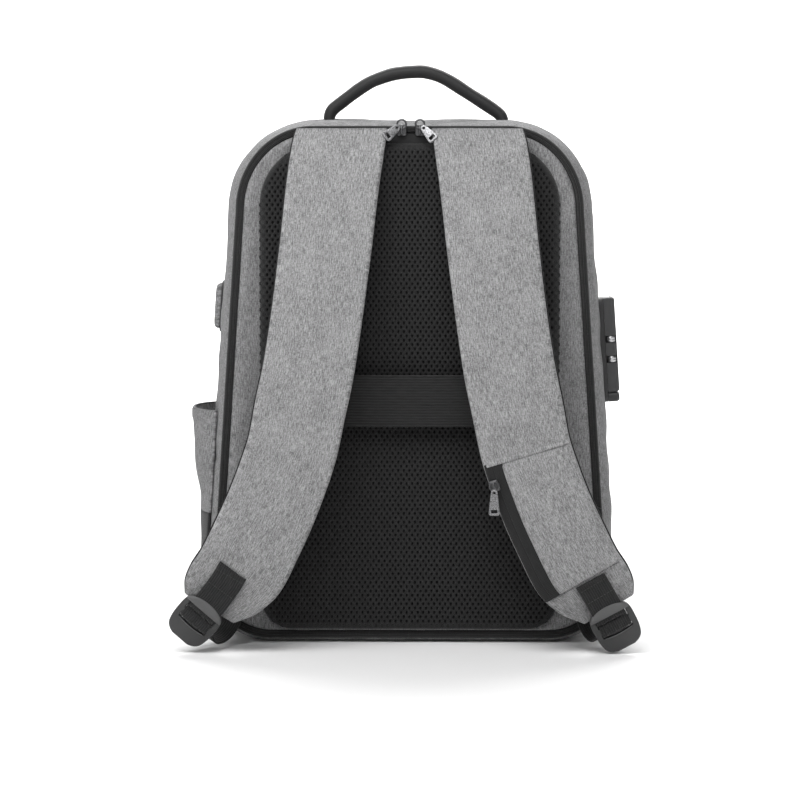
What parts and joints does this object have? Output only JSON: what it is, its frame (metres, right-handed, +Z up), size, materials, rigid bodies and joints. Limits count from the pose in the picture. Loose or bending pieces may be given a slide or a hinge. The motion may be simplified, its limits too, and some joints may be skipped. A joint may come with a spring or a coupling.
{
  "type": "laptop backpack",
  "caption": "Grey laptop backpack standing on its base: zipped body, mesh back pad, padded shoulder straps, luggage band, carry handle, bottle pocket and side lock.",
  "frame": {"origin": "middle of the flat base's underside, halfway through the body's depth", "axes": "+Z up; -Y is the harness side, towards the wearer's back; +X is the side with the combination lock"},
  "size_m": [0.3856, 0.2126, 0.4802],
  "materials": {
    "melange": "grey melange plain-weave polyester with fine slubs, matt",
    "spacer_mesh": "black three-layer spacer mesh with small open cells, matt",
    "black_trim": "black closed-coil zip tape and binding cloth, matt",
    "webbing": "black ribbed woven webbing, slight sheen",
    "hard_plastic": "black moulded acetal, satin",
    "lock_plastic": "dark grey moulded plastic, satin",
    "gunmetal": "dark grey enamelled zinc, fine texture",
    "dial_metal": "bright turned steel"
  },
  "bodies": {
    "root": {"body_gusset": "melange", "front_panel": "melange", "back_panel": "melange", "mesh_pad": "spacer_mesh", "main_zip": "black_trim", "yoke_strip": "black_trim", "carry_handle": "webbing", "luggage_band": "webbing", "bottle_pocket": "melange", "bottle_pocket_base": "black_trim", "shoulder_strap_left": "melange", "strap_backing_left": "spacer_mesh", "corner_wing_left": "black_trim", "webbing_tab_left": "webbing", "adjuster_webbing_left": "webbing", "ladder_buckle_left": "hard_plastic", "shoulder_strap_right": "melange", "strap_backing_right": "spacer_mesh", "corner_wing_right": "black_trim", "webbing_tab_right": "webbing", "adjuster_webbing_right": "webbing", "ladder_buckle_right": "hard_plastic", "strap_pocket": "melange", "strap_pocket_zip": "black_trim", "zip_slider_left": "gunmetal", "zip_puller_left": "gunmetal", "zip_slider_right": "gunmetal", "zip_puller_right": "gunmetal", "strap_pocket_slider": "gunmetal", "strap_pocket_puller": "gunmetal", "port_frame": "hard_plastic", "port_cover": "melange", "lock_base": "hard_plastic", "lock_cover": "lock_plastic", "lock_cap": "hard_plastic", "lock_spindle": "dial_metal"},
    "dial_upper": {"lock_dial_upper": "dial_metal"},
    "dial_lower": {"lock_dial_lower": "dial_metal"}
  },
  "joints": [
    {"name": "dial_upper_turn", "type": "hinge", "parent": "root", "child": "dial_upper", "pos_m": [0.16906, -0.0088, 0.25057], "axis": [-0.0656, 0, 0.9978], "continuous": true},
    {"name": "dial_lower_turn", "type": "hinge", "parent": "root", "child": "dial_lower", "pos_m": [0.17018, -0.0088, 0.23361], "axis": [-0.0656, 0, 0.9978], "continuous": true}
  ]
}
